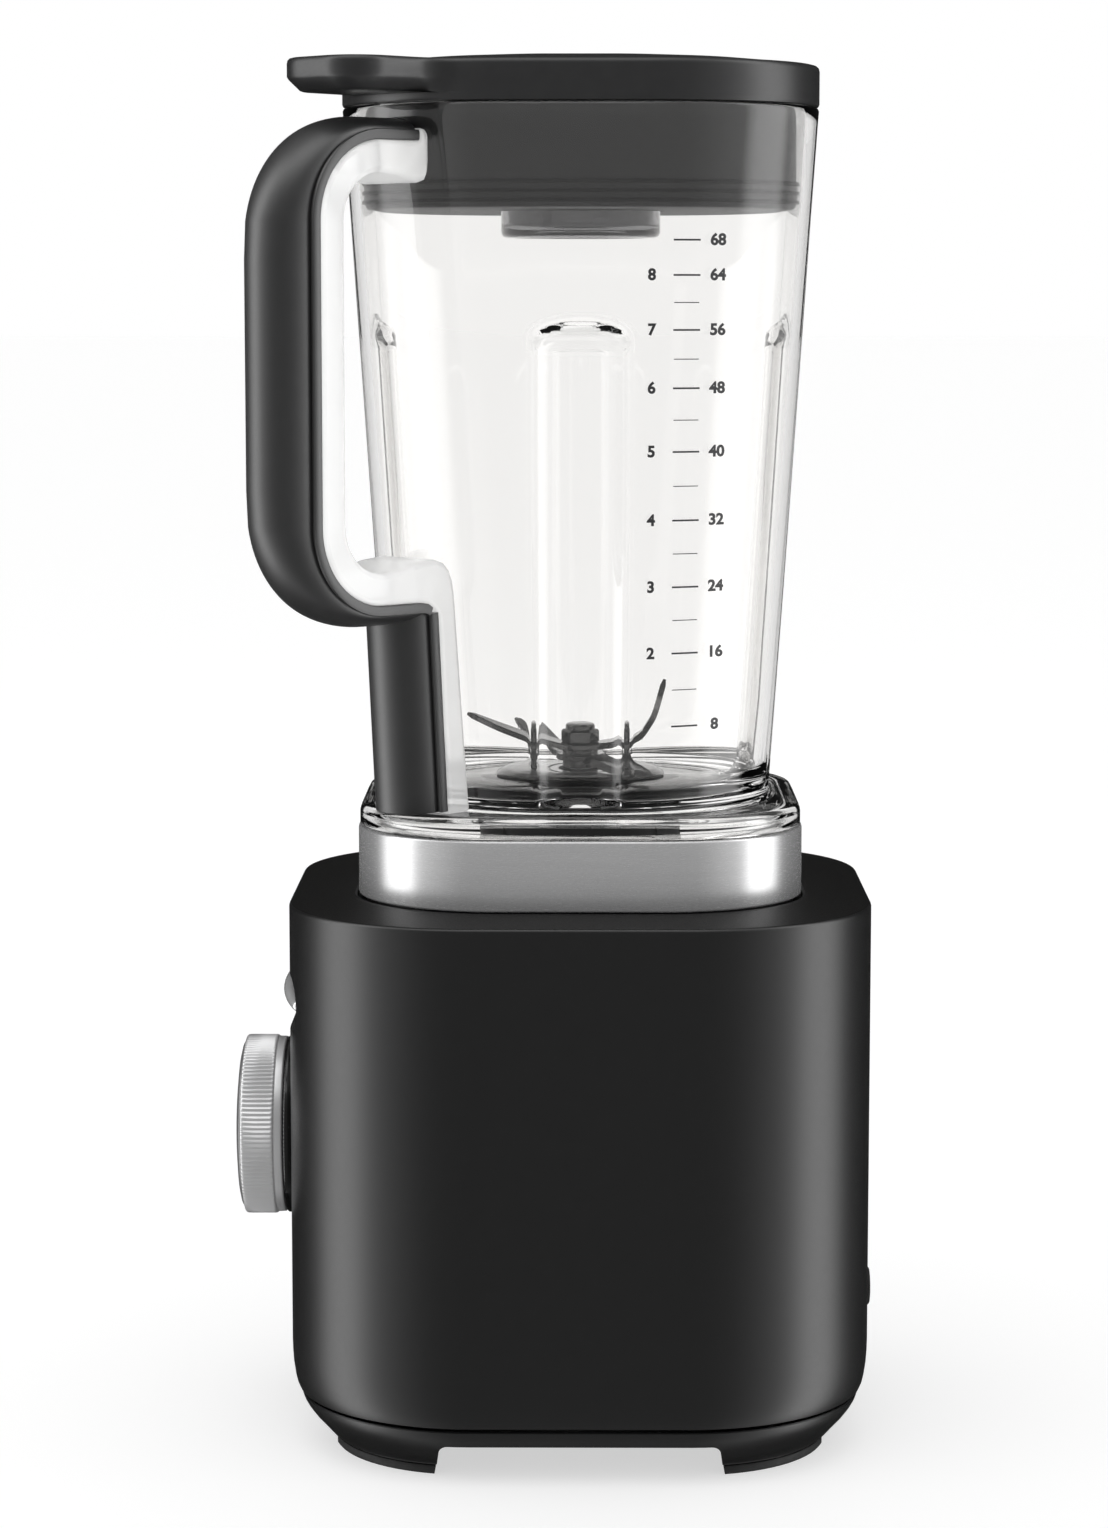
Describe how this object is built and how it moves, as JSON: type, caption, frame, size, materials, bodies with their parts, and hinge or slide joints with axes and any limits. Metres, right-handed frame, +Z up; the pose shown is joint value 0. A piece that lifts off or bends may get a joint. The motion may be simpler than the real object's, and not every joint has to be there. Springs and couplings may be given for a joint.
{
  "type": "countertop blender",
  "caption": "Square motor base with dial and toggle, clear square jar with corner handle, crossed blades, plug lid and centre cap.",
  "frame": {"origin": "where the vertical drive axis meets the table that the feet stand on", "axes": "+Z up along the drive axis; the dial and toggle face -X, the cable outlet faces +X, and the jar's handle and the lid's tab point between -X and -Y"},
  "size_m": [0.1906, 0.1768, 0.4044],
  "materials": {
    "housing_black": "satin black moulding",
    "charcoal_plastic": "fine matt texture",
    "gloss_black": "gloss black",
    "rubber_black": "matt rubber",
    "collar_metal": "satin brushed",
    "dial_metal": "spun and knurled",
    "toggle_chrome": "satin chrome",
    "jar_clear": "clear polished",
    "cap_smoke": "smoke-tinted clear, polished",
    "grip_soft": "soft touch",
    "lid_charcoal": "satin charcoal",
    "blade_steel": "polished stainless",
    "steel_plain": "plain",
    "motor_steel": "laminated electrical steel",
    "cast_aluminium": "as cast",
    "copper_wire": "lacquered copper",
    "brass_plain": "plain",
    "carbon": "sintered carbon",
    "board_green": "solder mask",
    "board_parts_blue": "sleeved capacitor",
    "coupler_black": "glass-filled nylon"
  },
  "bodies": {
    "base": {"base_housing": "housing_black", "base_plate": "housing_black", "foot_pads": "rubber_black", "base_screws": "steel_plain", "collar_band": "collar_metal", "jar_seat": "charcoal_plastic", "seat_pad": "rubber_black", "cord_gland": "rubber_black", "dial_bezel": "gloss_black", "toggle_bezel": "gloss_black", "toggle_bracket": "steel_plain", "toggle_pin": "steel_plain", "toggle_switches": "charcoal_plastic", "dial_encoder": "steel_plain", "control_board": "board_green", "heat_sink": "cast_aluminium", "board_parts": "board_parts_blue", "motor_bracket_upper": "cast_aluminium", "motor_bracket_lower": "cast_aluminium", "motor_bolts": "steel_plain", "motor_bearings": "steel_plain", "stator_core": "motor_steel", "field_coils": "copper_wire", "brush_holders": "brass_plain", "carbon_brushes": "carbon", "fan_shroud": "charcoal_plastic", "vibration_mounts": "rubber_black"},
    "motor": {"motor_shaft": "steel_plain", "rotor_core": "motor_steel", "rotor_windings": "copper_wire", "commutator": "copper_wire", "cooling_fan": "charcoal_plastic", "base_coupler": "coupler_black"},
    "dial": {"dial_knob": "dial_metal", "dial_face": "dial_metal", "dial_shaft": "steel_plain"},
    "toggle": {"toggle_bar": "toggle_chrome", "toggle_arm": "steel_plain"},
    "jar": {"jar": "jar_clear", "handle_grip": "grip_soft", "bearing_housing": "blade_steel", "housing_gasket": "rubber_black", "retaining_nut": "coupler_black", "jar_bearings": "steel_plain", "shaft_seal": "rubber_black"},
    "blades": {"blade_shaft": "steel_plain", "blade_upper": "blade_steel", "blade_lower": "blade_steel", "blade_spacers": "blade_steel", "blade_nut": "blade_steel", "jar_coupler": "coupler_black"},
    "lid": {"lid_top": "lid_charcoal", "lid_plug": "lid_charcoal", "lid_gasket": "rubber_black"},
    "cap": {"cap_cup": "cap_smoke", "cap_top": "lid_charcoal", "cap_seal": "rubber_black"}
  },
  "joints": [
    {"name": "motor_spin", "type": "hinge", "parent": "base", "child": "motor", "pos_m": [0, 0, 0.092], "axis": [0, 0, 1], "continuous": true},
    {"name": "dial_turn", "type": "hinge", "parent": "base", "child": "dial", "pos_m": [-0.0903, 0, 0.0871], "axis": [1, 0, 0], "range_deg": [0, 270]},
    {"name": "toggle_rock", "type": "hinge", "parent": "base", "child": "toggle", "pos_m": [-0.0708, 0, 0.131], "axis": [0, 1, 0], "range_deg": [-10, 10], "stiffness_Nm_per_rad": 1},
    {"name": "jar_lift", "type": "slide", "parent": "base", "child": "jar", "axis": [0, 0, 1], "range_m": [0, 0.08]},
    {"name": "blade_spin", "type": "hinge", "parent": "jar", "child": "blades", "pos_m": [0, 0, 0.19], "axis": [0, 0, 1], "continuous": true},
    {"name": "lid_lift", "type": "slide", "parent": "jar", "child": "lid", "axis": [0, 0, 1], "range_m": [0, 0.06]},
    {"name": "cap_lift", "type": "slide", "parent": "lid", "child": "cap", "axis": [0, 0, 1], "range_m": [0, 0.06]}
  ],
  "couplings": [
    {"joint": "blade_spin", "follows": "motor_spin", "ratio": 1}
  ]
}
